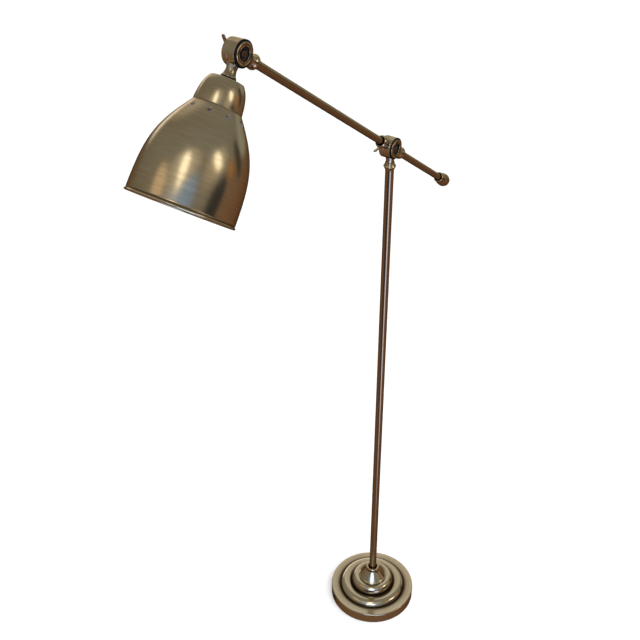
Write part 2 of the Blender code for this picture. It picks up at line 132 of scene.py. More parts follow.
def tubeOutline(radius, wall, start, end):
    return eased([(radius - wall, start), (radius, start, 0.3), (radius, end, 0.3), (radius - wall, end)],
                 True)


def disc(hole, radius, start, end, corner):
    return eased([(hole, start), (radius, start, corner), (radius, end, corner), (hole, end)], True)


# ---- pieces
def settle(name, mesh, place, body, finishes, stands=()):
    piece = bpy.data.objects.new(name, mesh)
    bpy.context.scene.collection.objects.link(piece)
    piece.matrix_world = place
    for finish in finishes if isinstance(finishes, (list, tuple)) else [finishes]:
        mesh.materials.append(finish)
    mesh.shade_smooth()
    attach(piece, body)
    if stands:
        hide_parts(*([stands] if isinstance(stands, str) else stands))
    return piece


def reliefAlong(outline, closed, reach):
    # how far each point stands out of (+) or sinks into (-) its surroundings, reach mm each way
    points = [Vector(p) for p in outline]
    count = len(points)
    area = sum(a.x * b.y - b.x * a.y for a, b in zip(points, points[1:] + points[:1]))
    side = 1 if area > 0 else -1

    def walk(i, step):
        left, here = reach, points[i]
        while True:
            j = i + step
            if not closed and not 0 <= j < count:
                return here
            on = points[j % count]
            far = (on - here).length
            if far >= left:
                return here + (on - here) * (left / far)
            left, here, i = left - far, on, j

    out = []
    for i, here in enumerate(points):
        a, b = walk(i, -1), walk(i, 1)
        along = b - a
        if along.length < 1e-6:
            out.append(1.0)
            continue
        outward = Vector((along.y, -along.x)).normalized() * side
        out.append((here - (a + b) / 2).dot(outward) / reach)
    return out


def latheMesh(name, outline, sides, closed, reach=2.2):
    bm = bmesh.new()
    layer = bm.verts.layers.float.new("relief")
    rings = []
    for r, z in outline:
        if r < 1e-6:
            rings.append([bm.verts.new((0, 0, z * mm))])
        else:
            rings.append([bm.verts.new((r * mm * math.cos(2 * math.pi * i / sides),
                                        r * mm * math.sin(2 * math.pi * i / sides), z * mm))
                          for i in range(sides)])
    pairs = list(zip(rings, rings[1:]))
    if closed:
        pairs.append((rings[-1], rings[0]))
    for low, high in pairs:
        for i in range(sides):
            j = (i + 1) % sides
            corners = [low[i % len(low)], low[j % len(low)], high[j % len(high)], high[i % len(high)]]
            kept = [v for k, v in enumerate(corners) if v not in corners[:k]]
            if len(kept) > 2:
                bm.faces.new(kept)
    for ring, height in zip(rings, reliefAlong(outline, closed, reach)):
        for vert in ring:
            vert[layer] = height
    bmesh.ops.recalc_face_normals(bm, faces=bm.faces[:])
    mesh = bpy.data.meshes.new(name)
    bm.to_mesh(mesh)
    bm.free()
    return mesh


def turned(name, outline, sides, place, body, finishes, stands=(), closed=True, reach=2.2):
    mesh = latheMesh(name, outline, sides, closed, reach)
    return settle(name, mesh, place, body, finishes, stands)


def paint(piece, test, index):
    # gives the faces that pass the test another of the piece's finishes
    for face in piece.data.polygons:
        c = face.center / mm
        if test(math.hypot(c.x, c.y), c.z):
            face.material_index = index


# ---- shader maths
class Wire:
    def __init__(self, socket):
        self.socket = socket

    def sum(self, operation, first, second):
        node = self.socket.node.id_data.nodes.new("ShaderNodeMath")
        node.operation = operation
        for slot, value in zip(node.inputs, (first, second)):
            if isinstance(value, Wire):
                node.id_data.links.new(value.socket, slot)
            else:
                slot.default_value = value
        return Wire(node.outputs[0])

    def __add__(self, other): return self.sum("ADD", self, other)
    def __radd__(self, other): return self.sum("ADD", other, self)
    def __sub__(self, other): return self.sum("SUBTRACT", self, other)
    def __rsub__(self, other): return self.sum("SUBTRACT", other, self)
    def __mul__(self, other): return self.sum("MULTIPLY", self, other)
    def __rmul__(self, other): return self.sum("MULTIPLY", other, self)
    def __truediv__(self, other): return self.sum("DIVIDE", self, other)
    def __pow__(self, other): return self.sum("POWER", self, other)


class Finish:
    def __init__(self, name, owner=None):
        self.material = owner or bpy.data.materials.new(name)
        self.material.use_nodes = True
        self.nodes = self.material.node_tree.nodes
        self.links = self.material.node_tree.links
        self.shader = self.nodes.get("Principled BSDF") or self.nodes["Background"]

    def add(self, kind, settings=None, inputs=None, output=0):
        node = self.nodes.new(kind)
        for key, value in (settings or {}).items():
            if key == "stops":
                ramp = node.color_ramp
                while len(ramp.elements) < len(value):
                    ramp.elements.new(0.5)
                for element, (position, colour) in zip(ramp.elements, value):
                    element.position = position
                    element.color = (*colour, 1)
            else:
                setattr(node, key, value)
        for key, value in (inputs or {}).items():
            self.feed(node.inputs[key], value)
        return Wire(node.outputs[output])

    def feed(self, socket, value):
        if isinstance(value, Wire):
            self.links.new(value.socket, socket)
        elif hasattr(socket.default_value, "__len__") and len(value) < len(socket.default_value):
            socket.default_value = (*value, 1)
        else:
            socket.default_value = value

    def set(self, **values):
        for key, value in values.items():
            self.feed(self.shader.inputs[key.replace("_", " ")], value)

    def blend(self, mask, first, second):
        return self.add("ShaderNodeMix", {"data_type": "RGBA"}, {0: mask, 6: first, 7: second}, 2)

    def noise(self, vector, scale, detail=3.0, roughness=0.5):
        return self.add("ShaderNodeTexNoise", None,
                        {"Vector": vector, "Scale": scale, "Detail": detail, "Roughness": roughness})

    def between(self, value, low, high):
        return self.add("ShaderNodeMapRange", {"interpolation_type": "SMOOTHSTEP"},
                        {"Value": value, "From Min": low, "From Max": high})


print("tools ready")

# ---- finishes
# lines, spread and slope set the brushing; fade sets how far the dark patina and painted shade reach out of
# the grooves, rub how much the raised edges shine from wear
plateLook = {
    "shade": {"colour": (0.46, 0.395, 0.275), "warm": (0.42, 0.325, 0.20), "darkLineAndShade": (0.12, 0.08, 0.045),
              "rubbed": (0.66, 0.58, 0.42), "edge": (0.55, 0.47, 0.40), "rough": 0.20, "lines": 2600,
              "lineDepth": 0.27, "spread": 2.0, "slope": (0.6, 1.0), "stretch": 0.45, "fade": 0.30,
              "rub": 0.3},
    "base": {"colour": (0.48, 0.415, 0.295), "warm": (0.43, 0.345, 0.225), "darkLineAndShade": (0.085, 0.060, 0.042),
             "rubbed": (0.66, 0.58, 0.42), "edge": (0.5, 0.43, 0.36), "rough": 0.165, "lines": 2200,
             "lineDepth": 0.14, "spread": 1.5, "slope": (1.0, -1.0), "stretch": 0.35, "fade": 0.44,
             "rub": 0.25},
    "tube": {"colour": (0.30, 0.225, 0.15), "warm": (0.28, 0.185, 0.105), "darkLineAndShade": (0.09, 0.055, 0.03),
             "rubbed": (0.50, 0.40, 0.27), "edge": (0.62, 0.54, 0.46), "rough": 0.20, "lines": 160,
             "lineDepth": 0.08, "spread": 5.0, "slope": (1.0, 1.0), "stretch": 0.0, "fade": 0.20,
             "rub": 0.3},
    "casting": {"colour": (0.39, 0.335, 0.235), "warm": (0.35, 0.27, 0.165), "darkLineAndShade": (0.06, 0.04, 0.025),
                "rubbed": (0.60, 0.51, 0.35), "edge": (0.45, 0.38, 0.31), "rough": 0.20, "lines": 900,
                "lineDepth": 0.12, "spread": 1.2, "slope": (1.0, 1.0), "stretch": 0.2, "fade": 0.30,
                "rub": 0.35},
    "trim": {"colour": (0.44, 0.36, 0.235), "warm": (0.38, 0.27, 0.155), "darkLineAndShade": (0.05, 0.035, 0.02),
             "rubbed": (0.68, 0.57, 0.38), "edge": (0.45, 0.38, 0.31), "rough": 0.12, "lines": 1100,
             "lineDepth": 0.08, "spread": 1.0, "slope": (1.0, 1.0), "stretch": 0.1, "fade": 0.30,
             "rub": 0.4},
}


def agedPlate(name, look):
    # metal plate turned and brushed round its own Z, with dark patina and painted shade in and beside the
    # grooves, and rubbed on the edges
    f = Finish(name)
    at = f.add("ShaderNodeTexCoord", output=3)
    flat = f.add("ShaderNodeVectorMath", {"operation": "MULTIPLY"}, {0: at, 1: (1, 1, 0)})
    radius = f.add("ShaderNodeVectorMath", {"operation": "LENGTH"}, {0: flat}, 1)
    way = f.add("ShaderNodeVectorMath", {"operation": "NORMALIZE"}, {0: flat})
    height = f.add("ShaderNodeSeparateXYZ", None, {0: at}, 2)
    relief = f.add("ShaderNodeAttribute", {"attribute_name": "relief"}, output=2)
    across = radius * look["slope"][0] + height * look["slope"][1]

    def brushed(scale, spread, detail):
        ringed = f.add("ShaderNodeCombineXYZ", None, {2: across * scale})
        around = f.add("ShaderNodeVectorMath", {"operation": "MULTIPLY_ADD"},
                       {0: way, 1: (spread,) * 3, 2: ringed})
        return f.noise(around, 1.0, detail, 0.6)

    lines = brushed(look["lines"], look["spread"], 2.0)
    wide = brushed(look["lines"] * 0.12, 1.1, 3.0)
    cloud = f.noise(at, 9.0, 4.0, 0.55)
    grain = f.noise(at, 260.0, 2.0)

    tone = f.blend(f.between(cloud, 0.38, 0.66), look["colour"], look["warm"])
    tone = f.blend(f.between(wide, 0.42, 0.75) * (look["lineDepth"] * 0.8), tone, look["rubbed"])
    tone = f.blend(f.between(lines, 0.40, 0.80) * look["lineDepth"], tone, look["darkLineAndShade"])
    # dark patina in the grooves, and painted shade fading out beside them as far as fade reaches
    patinaAndPaintedShade = f.between(relief * -1.0 + (grain - 0.5) * 0.06, 0.015, look["fade"])
    tone = f.blend(patinaAndPaintedShade * 0.94, tone, look["darkLineAndShade"])
    worn = f.between(relief + (cloud - 0.5) * 0.12, 0.16, 0.34)
    tone = f.blend(worn * look["rub"], tone, look["rubbed"])
    bump = f.add("ShaderNodeBump", None, {"Strength": 0.3 * look["lineDepth"], "Distance": 0.0001,
                                          "Height": lines + grain * 0.3})
    rough = look["rough"] + (lines - 0.5) * 0.10 + patinaAndPaintedShade * 0.22 + (cloud - 0.5) * 0.06 - worn * 0.03
    f.set(Base_Color=tone, Metallic=1.0, Normal=bump, Roughness=rough, Anisotropic=look["stretch"],
          Specular_Tint=look["edge"])
    return f.material


def plain(name, colour, rough, metallic=0.0, mottle=0.2, scale=120.0, depth=0.1, **more):
    # an even material with a fine grain, a little lighter and darker in places
    f = Finish(name)
    at = f.add("ShaderNodeTexCoord", output=3)
    cloud = f.noise(at, scale * 0.2, 3.0)
    grain = f.noise(at, scale * 6, 3.0, 0.6)
    darker = tuple(c * (1 - mottle) for c in colour)
    tone = f.blend(f.between(cloud + (grain - 0.5) * 0.3, 0.35, 0.7), colour, darker)
    bump = f.add("ShaderNodeBump", None, {"Strength": depth, "Distance": 0.0002, "Height": grain})
    f.set(Base_Color=tone, Metallic=metallic, Normal=bump, Roughness=rough + (grain - 0.5) * 0.2, **more)
    return f.material


shadePlate = agedPlate("brushed aged plate, shade", plateLook["shade"])
basePlate = agedPlate("brushed aged plate, base", plateLook["base"])
tubePlate = agedPlate("brown aged plate, tubes", plateLook["tube"])
castPlate = agedPlate("aged plate, castings", plateLook["casting"])
trimPlate = agedPlate("bright aged plate, trim", plateLook["trim"])
# near-black painted shade for the insides of bores, mouths and recessed faces
paintedShadeBlack = plain("blackened recess", (0.012, 0.010, 0.009), 0.5, 0.3)
boltBrown = plain("brown bolt head", (0.16, 0.085, 0.045), 0.42, 0.9, 0.4)
rubber = plain("black rubber", (0.008, 0.008, 0.008), 0.65, 0.0, 0.3, 200.0, 0.3,
               Specular_IOR_Level=0.0)
steel = plain("zinc plated steel", (0.52, 0.52, 0.50), 0.34, 1.0, 0.2)
capBrass = plain("bulb cap metal", (0.70, 0.68, 0.62), 0.3, 1.0, 0.15)
castIron = plain("varnished cast iron", (0.03, 0.03, 0.03), 0.62, 0.2, 0.4, 60.0, 0.6)
palePlastic = plain("pale moulded holder", (0.52, 0.50, 0.52), 0.42, 0.0, 0.06, 150.0, 0.1)
whitePlastic = plain("white moulded insulator", (0.74, 0.72, 0.67), 0.5, 0.0, 0.1)
satinLining = plain("pale satin lining", (0.50, 0.47, 0.50), 0.42, 0.0, 0.06, 90.0, 0.06)
frostedGlass = plain("frosted bulb glass", (0.86, 0.85, 0.81), 0.36, 0.0, 0.04, 60.0, 0.05,
                     Coat_Weight=0.35, Coat_Roughness=0.25)
print("finishes made")

# ---- base
# each step is a quarter round: centre radius and height, then its two radii
cover = {"radius": 115.0, "foot": 0.8, "edge": 30.5, "dish": 0.03, "lip": 31.2, "top": 66.0, "sides": 192,
         "firstStep": (73.0, 31.0, 16.2, 15.5), "secondStep": (46.0, 46.0, 11.6, 21.0)}
ax, az, arx, arz = cover["firstStep"]
bx, bz, brx, brz = cover["secondStep"]
coverOutline = eased(
    [(113.4, cover["foot"]), (cover["radius"], cover["foot"], 0.4), (cover["radius"], cover["edge"], 2.8)]
    + [(r, cover["edge"] + cover["dish"] * (cover["radius"] - r))
       for r in (110, 106, 103, 100.5, 98, 96, 94.4, 93)]
    + [(91.6, cover["lip"], 1.0), (90.0, 29.6, 0.5)] + bow((ax, az), (arx, arz), 2, 90, 14)
    + swoop((ax, az + arz), (68.0, 46.5), (62.0, 45.4), (59.6, 43.6), 8)[1:]
    + [(58.0, 42.6, 0.6), (57.5, 45.0)] + bow((bx, bz), (brx, brz), 6, 90, 14)
    + swoop((bx, bz + brz), (43.5, 67.0), (40.6, 66.9), (38.6, cover["top"]), 6)[1:]
    + [(6.2, cover["top"]), (6.2, 64.4), (45.0, 64.9, 2.0), (53.4, 58.6, 3.0), (55.8, 41.6, 1.0),
       (66.0, 43.9, 3.0), (72.0, 44.5, 3.0), (81.6, 39.6, 4.0), (86.8, 28.6, 1.0), (113.4, 28.0, 1.5)],
    True)
turned("baseCover", coverOutline, cover["sides"], upright, "pole", basePlate,
       "base_cover", reach=14.0)

socket = {"hole": 5.4, "foot": 37.4, "start": 66.3, "neck": 18.8, "end": 94.2, "sides": 128}
socketOutline = eased([
    (socket["hole"], socket["start"]), (socket["foot"], socket["start"], 0.2), (socket["foot"], 67.9, 0.8),
    (34.6, 69.9, 1.4), (20.7, 90.0, 2.0), (socket["neck"], 93.2, 0.8),
    (socket["neck"], socket["end"], 0.4), (socket["hole"], socket["end"])], True)
turned("poleSocket", socketOutline, socket["sides"], upright, "pole", basePlate,
       "pole_socket", reach=4.0)
# a black rubber washer fills the gap under the collar; its black stands for the painted shade of that gap
collarShadeDisc = disc(socket["hole"], 16.6, 94.5, 96.5, 0.5)
turned("collarShadeWasher", collarShadeDisc, 96, upright, "pole", rubber, "collar_washer")

collar = {"hole": 12.2, "start": 96.8, "middle": (15.5, 99.9), "round": (3.3, 3.1), "sides": 96}
collarOutline = eased([(collar["hole"], collar["start"]), (16.0, collar["start"], 0.3)]
                      + bow(collar["middle"], collar["round"], -70, 100, 12)
                      + [(13.2, 102.8, 0.6), (collar["hole"], 101.4, 0.3)], True)
collarPiece = turned("baseCollar", collarOutline, collar["sides"], upright, "pole", [trimPlate, paintedShadeBlack],
                     "base_collar")
# the collar's bore is painted black as shade
paint(collarPiece, lambda r, z: r < collar["hole"] + hair, 1)

gland = {"height": 9.0, "bore": 3.0, "sides": 48}
glandPlace = Matrix.Translation((0, 0, gland["height"] * mm)) @ Matrix.Rotation(math.radians(90), 4, "Y")
glandOutline = eased([(gland["bore"], 111.0), (6.2, 111.0), (6.2, 112.7), (4.9, 112.7), (4.9, 115.4),
                      (6.4, 115.4, 0.4), (5.4, 118.5, 0.9), (gland["bore"], 118.5, 0.4)], True)
turned("cordGland", glandOutline, gland["sides"], glandPlace, "pole", rubber, "cord_gland")
print("base made")

# ---- pole
pole = {"radius": 9.5, "wall": 1.0, "sides": 72}
poleEnds = [corner.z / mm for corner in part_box("pole_tube")]
turned("poleTube", tubeOutline(pole["radius"], pole["wall"], *poleEnds), pole["sides"], upright, "pole",
       tubePlate, "pole_tube")

# ---- turned rings between castings and tubes, heights from the joint axis
ring = {"start": 34.5, "end": 49.5, "hole": 5.2, "radius": 13.7, "foot": 10.2, "gapWide": 2.8,
        "slack": 0.02, "sides": 96}


def ringOutline(tubeRadius, recessed):
    end = ring["end"]
    outline = [(ring["hole"], ring["start"]), (ring["foot"], ring["start"], 0.4)]
    if recessed:     # a cup whose mouth round the tube is painted black as shade
        mouth = tubeRadius + ring["gapWide"]
        outline += [(10.8, 36.9, 1.2), (12.5, 40.0, 1.6), (13.6, 42.8, 1.4), (13.4, 45.4, 1.4),
                    (mouth + 1.4, 48.4, 1.2), (mouth + 0.7, end, 0.4), (mouth, end, 0.3),
                    (mouth, end - 3.2), (ring["hole"], end - 3.2)]
    else:
        outline += [(10.7, 36.8, 1.2), (12.9, 40.0, 0.9), (ring["radius"], 41.5, 0.6), (12.9, 43.0, 0.9),
                    (tubeRadius + 0.9, 47.9, 1.0), (tubeRadius + 0.3, end, 0.3), (ring["hole"], end)]
    return eased(outline, True)


turned("poleBead", ringOutline(pole["radius"], False), ring["sides"], poleEnd, "pole", trimPlate,
       "pole_bead")

# ---- arm tubes
arm = {"radius": 7.5, "wall": 1.0, "start": 47.0, "tail": 266.0, "sides": 64}
for name, place, end, node in (("armTube", armFromPole, armLength - arm["start"], "arm_tube"),
                               ("tailTube", tailFromPole, arm["tail"], "tail_tube")):
    turned(name, tubeOutline(arm["radius"], arm["wall"], arm["start"], end), arm["sides"], place, "arm",
           tubePlate, node)
for name, place, node in (("armBeadPoleEnd", armFromPole, "arm_bead_pole_end"),
                          ("tailBead", tailFromPole, "tail_bead"),
                          ("armBeadShadeEnd", armFromHead, "arm_bead_shade_end")):
    bead = turned(name, ringOutline(arm["radius"], True), ring["sides"], place, "arm",
                  [trimPlate, paintedShadeBlack], node)
    inside = arm["radius"] + ring["gapWide"] + ring["slack"]
    # the inside of each bead's mouth round the tube is painted black as shade
    paint(bead, lambda r, z: r < inside and z > ring["end"] - 3.5, 1)

# ---- acorn knob at the arm's low end
knob = {"mouth": 263.0, "ball": 14.9, "collar": 12.2, "hole": 9.6, "sides": 96}
mouth = knob["mouth"]
knobPiece = turned("tailFinial", eased([
    (0, mouth + 3.3), (knob["hole"], mouth + 3.3), (knob["hole"], mouth, 0.3), (10.8, mouth + 0.1, 0.7),
    (knob["collar"], mouth + 2.6, 1.2), (knob["collar"], mouth + 6.0, 1.0), (10.4, mouth + 8.2, 0.6),
    (10.2, mouth + 9.4, 0.5)])
    + flowing([(10.6, mouth + 10.2), (12.4, mouth + 14.0), (14.2, mouth + 20.0),
               (knob["ball"], mouth + 28.0), (14.5, mouth + 34.0), (12.6, mouth + 39.6),
               (9.0, mouth + 43.3), (4.6, mouth + 44.8), (0, mouth + 45.0)], 6),
    knob["sides"], tailFromPole, "arm", [trimPlate, paintedShadeBlack], "tail_finial", False)
# the knob's mouth round the tube is painted black as shade
paint(knobPiece, lambda r, z: r < knob["hole"] + hair and z < mouth + 3.5, 1)
print("arm made")

# ---- joint drums
drum = {"radius": 22.7, "seat": -11.2, "front": -13.4, "crest": -15.6, "seam": 3.5, "back": 14.8,
        "hub": 9.0, "cavity": 19.9, "bore": 3.3, "sides": 144}
half = gap / 2
seat, face = drum["seat"], drum["front"]
frontOutline = eased([
    (drum["bore"], seat), (drum["radius"], seat, 0.4), (drum["radius"], drum["seam"] - half, 0.5),
    (drum["cavity"], drum["seam"] - half), (drum["cavity"], seat + 3.0), (drum["hub"], seat + 3.0),
    (drum["hub"], 1.85), (drum["bore"], 1.85)], True)
rearOutline = eased([
    (drum["bore"], drum["seam"] + half), (drum["hub"], drum["seam"] + half), (drum["hub"], 11.8),
    (drum["cavity"], 11.8), (drum["cavity"], drum["seam"] + half),
    (drum["radius"], drum["seam"] + half, 0.5), (drum["radius"], drum["back"], 1.6),
    (8.0, drum["back"], 0.3), (drum["bore"], drum["back"])], True)
blackOutline = eased([(12.4, seat - gap), (12.4, face, 0.3), (drum["radius"], face, 0.7),
                      (drum["radius"], seat - gap, 0.2)], True)
screw = {"radius": 3.0, "depth": 0.28, "start": 14.0, "halfPitch": 0.5, "ridges": 26}
boltOutline = eased([(0, -14.2), (3.6, -14.0, 1.2), (5.4, -13.0, 1.0), (5.6, -11.5, 0.2),
                     (screw["radius"], -11.5), (screw["radius"], screw["start"])]
                    + [(screw["radius"] - screw["depth"] * (k % 2),
                        screw["start"] + screw["halfPitch"] * k, 0.1) for k in range(1, screw["ridges"] + 1)]
                    + [(2.5, 27.8, 0.4), (0, 28.0)])
capOutline = flowing([(12.2, face - gap), (12.2, -14.5), (12.55, -14.95), (13.1, -14.75), (14.2, -14.5),
                      (15.8, -14.9), (17.2, drum["crest"] + 0.1), (18.0, drum["crest"] + 0.15),
                      (18.9, -14.9), (19.3, face - gap)], 5)
washerOutline = eased([(3.4, 15.1, 0.2), (8.5, 15.1, 0.3), (8.5, 16.2, 0.3), (3.4, 16.2, 0.2)], True)

for joint, place, rearBody in (("pole", poleDrum, "pole"), ("head", headDrum, "head")):
    front = turned(f"{joint}JointFront", frontOutline, drum["sides"], place, "arm", [castPlate, paintedShadeBlack],
                   f"{joint}_joint_front")
    # the drum's recessed front face is painted black as shade
    paint(front, lambda r, z: z < seat + hair, 1)
    turned(f"{joint}JointRear", rearOutline, drum["sides"], place, rearBody, castPlate,
           f"{joint}_joint_rear")
    bolt = turned(f"{joint}JointBolt", boltOutline, 48, place, "arm", [boltBrown, steel],
                  f"{joint}_joint_bolt", False)
    paint(bolt, lambda r, z: z > screw["start"], 1)
    turned(f"{joint}JointBlackRing", blackOutline, drum["sides"], place, "arm", rubber,
           f"{joint}_joint_black_ring")
    turned(f"{joint}JointCapRing", capOutline, drum["sides"], place, "arm", trimPlate,
           f"{joint}_joint_cap_ring")
    turned(f"{joint}JointWasher", washerOutline, 64, place, "arm", steel,
           f"{joint}_joint_back_washer")

# ---- necks: a turned waist whose root is laid on the round of the drum
# past the seam a neck lifts clear of the other half, on its own side it sinks into the drum
neck = {"end": 34.2, "flare": 3.2, "fade": 6.0, "blend": 3.0, "seamSlack": 0.2, "lift": 0.35, "sink": 0.5,
        "sides": 96}


def neckPiece(name, knots, place, body, own, flareX):
    # own is the side of the seam, -1 front or 1 rear, where the neck grows out of its drum half
    outline = [(0, drum["radius"])] + flowing(knots, 6) + [(0, knots[-1][1])]
    mesh = latheMesh(name, outline, neck["sides"], False)
    for vert in mesh.vertices:
        x, y, z = vert.co / mm
        reach = math.hypot(x, y)
        low = max(0.0, 1 - (z - drum["radius"]) / neck["fade"])
        inside = (y - drum["seam"]) * own
        mine = min(1.0, max(0.0, inside / neck["blend"]))
        if reach > 1e-6:
            swell = neck["flare"] * low ** 3 * mine * (y * y + flareX * x * x) / reach ** 2
            x, y = x * (1 + swell / reach), y * (1 + swell / reach)
        bend = math.sqrt(max(0.0, drum["radius"] ** 2 - x * x)) - drum["radius"]
        if inside < neck["seamSlack"]:
            z = max(z, drum["radius"] + neck["lift"])
        else:
            z -= neck["sink"] * low ** 3
        vert.co = Vector((x, y, z + bend * low ** 0.5)) * mm
    mesh.update()
    return settle(name, mesh, place, body, castPlate)


plainNeck = [(8.6, 22.7), (8.75, 25.0), (8.9, 27.6), (9.2, 30.4), (9.8, 32.6),
             (10.4, neck["end"])]
neckPiece("poleNeck", plainNeck, poleEnd, "pole", 1, 0.0)
neckPiece("armNeck", plainNeck, armFromPole, "arm", -1, 0.0)
neckPiece("tailNeck", plainNeck, tailFromPole, "arm", -1, 0.0)
neckPiece("armNeckShadeEnd", plainNeck, armFromHead, "arm", -1, 0.4)
stem = {"flange": 12.9, "end": 41.6}
stemNeck = [(9.6, 22.7), (9.3, 25.0), (9.0, 28.2), (9.2, 31.2), (9.9, 34.4), (11.0, 37.4), (12.2, 39.6),
            (stem["flange"], 40.5), (stem["flange"], stem["end"] - 0.2), (12.6, stem["end"])]
neckPiece("shadeStem", stemNeck, shadeFromHead, "head", 1, 0.4)
print("joints made")

# ---- wing nuts
wing = {"thick": 2.8, "tipThick": 2.2, "reach": 26.0, "soft": 1.0, "sharp": 1.2,
        "turns": {"pole": -107.0, "head": -10.0}}
hubOutline = eased([(3.3, 16.5), (8.0, 16.5, 0.4), (7.5, 20.5, 1.0), (6.0, 26.5, 0.8), (3.3, 26.5, 0.4)],
                   True)
earOutline = (swoop((5.0, 17.6), (11.0, 17.4), (16.0, 20.4), (22.4, 20.4), 8)
              + bow((22.7, 24.0), (3.3, 3.6), -75, 100, 9)
              + swoop((20.8, 27.3), (16.6, 26.4), (13.0, 24.0), (5.0, 24.4), 8))
for joint, at in (("pole", poleJointAt), ("head", headJointAt)):
    turned(f"{joint}WingNutHub", hubOutline, 64, Matrix.Translation(at) @ sideways, f"{joint}_wing_nut",
           castPlate, f"{joint}_wing_nut")
    bm = bmesh.new()
    for side in (1, -1):
        faces = []
        for x in (-1, 1):
            loop = []
            for r, y in earOutline:
                thick = wing["thick"] + (wing["tipThick"] - wing["thick"]) * r / wing["reach"]
                loop.append(bm.verts.new((x * mm / 2 * thick, y * mm, side * r * mm)))
            faces.append(loop)
            bm.faces.new(loop if x < 0 else list(reversed(loop)))
        count = len(earOutline)
        for i in range(count):
            j = (i + 1) % count
            bm.faces.new((faces[0][i], faces[1][i], faces[1][j], faces[0][j]))
    bmesh.ops.recalc_face_normals(bm, faces=bm.faces[:])
    rims = [e for e in bm.edges if len(e.link_faces) == 2 and e.calc_face_angle() > wing["sharp"]]
    bmesh.ops.bevel(bm, geom=rims, offset=wing["soft"] * mm, segments=4, profile=0.6, affect="EDGES",
                    clamp_overlap=True)
    ears = bpy.data.meshes.new(f"{joint}WingNutEars")
    bm.to_mesh(ears)
    bm.free()
    settle(f"{joint}WingNutEars", ears, Matrix.Translation(at)
           @ Matrix.Rotation(math.radians(wing["turns"][joint]), 4, "Y"), f"{joint}_wing_nut", castPlate)
print("wing nuts made")

# ---- shade
shade = {"top": 45.5, "hole": 5.2, "crease": (40.84, 92.0), "mouth": 90.85, "rim": 262.0, "bead": 1.9,
         "wall": 0.8, "vents": 10, "ventRadius": 3.7, "ventAt": (49.5, 104.6), "ventPhase": 8.4,
         "ventDepth": 14.0, "sides": 192}
gasket = {"start": 41.9, "end": 45.2}
turned("shadeGasket", disc(shade["hole"], stem["flange"], gasket["start"], gasket["end"], 0.6), 96,
       shadeFromHead, "head", rubber, "shade_gasket")
crown = swoop((shade["hole"], shade["top"]), (12.0, 45.5), (20.0, 45.55), (26.2, 45.7), 6)
creaseRadius, creaseHeight = shade["crease"]
crownSide = swoop((29.0, 47.4), (33.6, 54.0), (39.2, 64.0), (creaseRadius, creaseHeight - 2.0), 22)
skin = (crown + swoop(crown[-1], (27.9, 45.9), (28.3, 46.3), crownSide[0], 5)[1:-1] + crownSide
        + swoop(crownSide[-1], (40.9, 91.2), (40.9, 91.6), (42.0, 93.4), 5)[1:-1]
        + swoop((42.0, 93.4), (81.9, 148.0), (90.4, 174.3), (shade["mouth"], shade["rim"] - 4), 56))
beadAt = (shade["mouth"] - 0.2, shade["rim"] - shade["bead"])
lining = [(r - shade["wall"], z + (shade["wall"] if z < 48 else 0.0)) for r, z in reversed(skin[1:])]
shadeOutline = (skin + bow(beadAt, (shade["bead"],) * 2, -60, 180, 12) + lining
                + [(shade["hole"], shade["top"] + shade["wall"])])
shadePiece = turned("shadeBell", shadeOutline, shade["sides"], shadeFromHead, "head",
                    [shadePlate, satinLining], "shade")

bm = bmesh.new()
for i in range(shade["vents"]):
    turn = math.radians(shade["ventPhase"] - i * 360 / shade["vents"])
    r, z = shade["ventAt"]
    outward = Vector((math.cos(turn), math.sin(turn), -0.7)).to_track_quat("Z", "Y").to_matrix().to_4x4()
    at = Matrix.Translation(Vector((r * math.cos(turn), r * math.sin(turn), z)) * mm)
    bmesh.ops.create_cone(bm, cap_ends=True, segments=32, radius1=shade["ventRadius"] * mm,
                          radius2=shade["ventRadius"] * mm, depth=shade["ventDepth"] * mm,
                          matrix=at @ outward)
punchMesh = bpy.data.meshes.new("ventPunch")
bm.to_mesh(punchMesh)
bm.free()
punch = bpy.data.objects.new("ventPunch", punchMesh)
bpy.context.scene.collection.objects.link(punch)
punch.matrix_world = shadeFromHead
holes = shadePiece.modifiers.new("vents", "BOOLEAN")
holes.operation, holes.solver, holes.object = "DIFFERENCE", "EXACT", punch
bpy.context.view_layer.update()
depsgraph = bpy.context.evaluated_depsgraph_get()
punched = bpy.data.meshes.new_from_object(shadePiece.evaluated_get(depsgraph))
shadePiece.modifiers.clear()
shadePiece.data = punched
bpy.data.objects.remove(punch)
# the faces that look inward, above the rim's bead, are the lining
for face in punched.polygons:
    c, n = face.center, face.normal
    inward = n.x * c.x + n.y * c.y < -0.05 * math.hypot(c.x, c.y) or (n.z > 0.5 and c.z < 0.05)
    if inward and c.z < (shade["rim"] - 4) * mm:
        face.material_index = 1
print("shade made:", len(punched.polygons), "faces")

# ---- lamp holder and bulb
holder = {"radius": 19.5, "bore": 15.6, "start": 71.8, "end": 101.8, "ribs": 30, "ribDepth": 0.45,
          "ribStart": 75.4, "ribEnd": 96.8, "sides": 180}
wide = holder["radius"]
capShell = eased([(5.2, 51.5), (10.0, 51.5, 1.5), (16.0, 54.5, 3.0), (wide, 60.5, 3.0), (wide, 71.5, 0.6),
                  (17.8, 71.5), (17.8, 61.5), (14.5, 56.1), (5.2, 55.5)], True)
turned("holderCap", capShell, 96, shadeFromHead, "head", palePlastic, "holder_cap")
bodyShell = eased([(holder["bore"], holder["start"]), (wide, holder["start"], 0.5), (wide, 75.0),
                   (wide, 75.7), (wide, 96.5), (wide, 97.2), (wide, holder["end"], 0.9),
                   (holder["bore"], holder["end"], 0.5)], True)
bodyPiece = turned("holderBody", bodyShell, holder["sides"], shadeFromHead, "head", palePlastic,
                   "holder_body")
